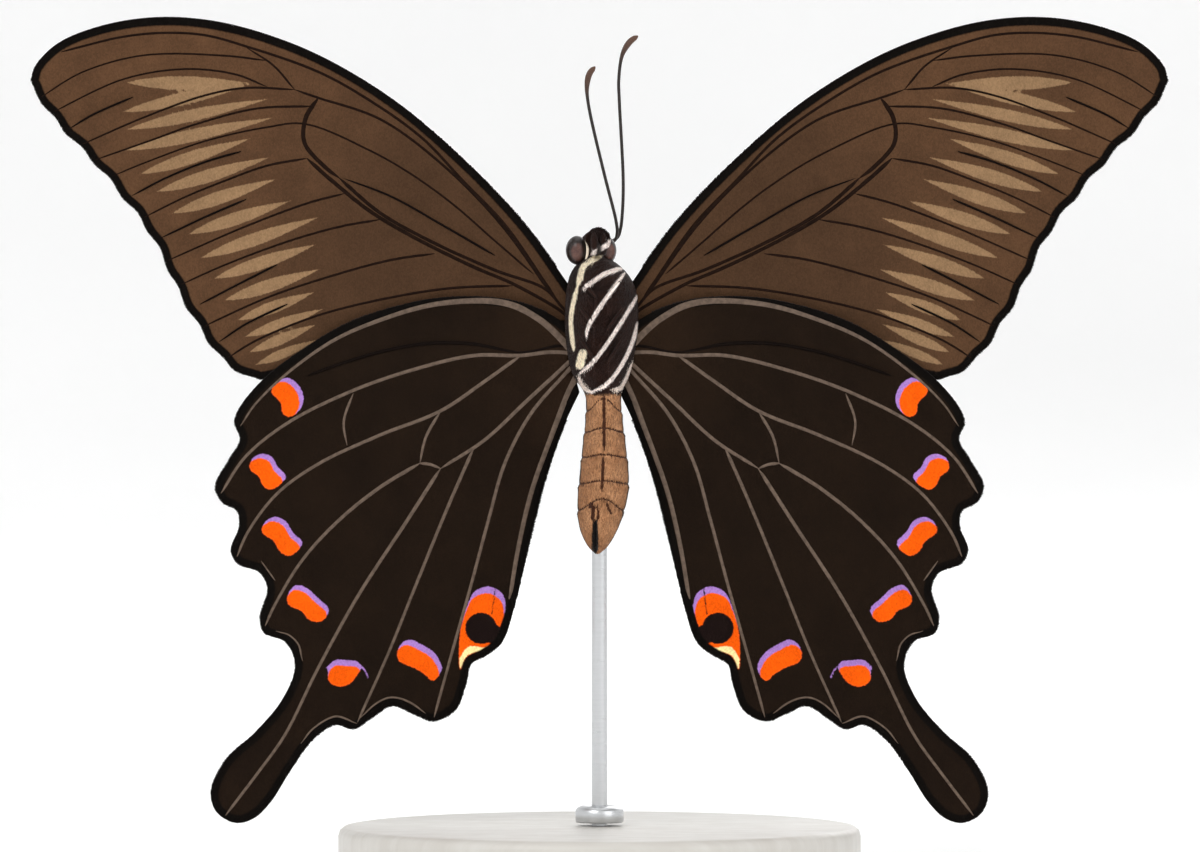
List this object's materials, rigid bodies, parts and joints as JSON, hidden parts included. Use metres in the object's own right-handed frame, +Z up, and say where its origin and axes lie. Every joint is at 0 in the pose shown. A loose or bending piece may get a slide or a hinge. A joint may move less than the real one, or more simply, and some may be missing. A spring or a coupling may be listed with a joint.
{
  "type": "swallowtail butterfly on a display stand",
  "caption": "Life-size peacock swallowtail butterfly, wings spread with the dark underside and orange crescents in front, held on a rod above a round base.",
  "frame": {"origin": "middle of the stand's underside, on the floor and on the rod's axis", "axes": "+X across the wings to the right as seen from the front, +Z up along the body to the head, +Y from the underside of the butterfly, which faces the front, to its back"},
  "size_m": [0.11, 0.05, 0.0816],
  "materials": {
    "forewing": "velvety brown scales with pale streaks and dark veins",
    "hindwing": "velvety black-brown scales with orange and violet crescents",
    "body_hair": "short dark hair with cream stripes",
    "abdomen": "tan scales with dark rings",
    "eye": "faceted dark brown cornea",
    "horn": "black horny skin with fine scales",
    "stand_base": "satin pale paint on wood",
    "stand_steel": "brushed"
  },
  "bodies": {
    "root": {"forewing_left": "forewing", "forewing_right": "forewing", "hindwing_left": "hindwing", "hindwing_right": "hindwing", "tail_left": "hindwing", "tail_right": "hindwing", "thorax": "body_hair", "head": "body_hair", "palp_left": "body_hair", "palp_right": "body_hair", "abdomen": "abdomen", "clasper_left": "abdomen", "clasper_right": "abdomen", "eye_left": "eye", "eye_right": "eye", "proboscis": "horn", "antenna_left": "horn", "antenna_right": "horn", "leg_fore_left": "horn", "leg_fore_right": "horn", "leg_mid_left": "horn", "leg_mid_right": "horn", "leg_hind_left": "horn", "leg_hind_right": "horn", "stand_base": "stand_base", "stand_rod": "stand_steel", "stand_collar": "stand_steel"}
  },
  "joints": []
}
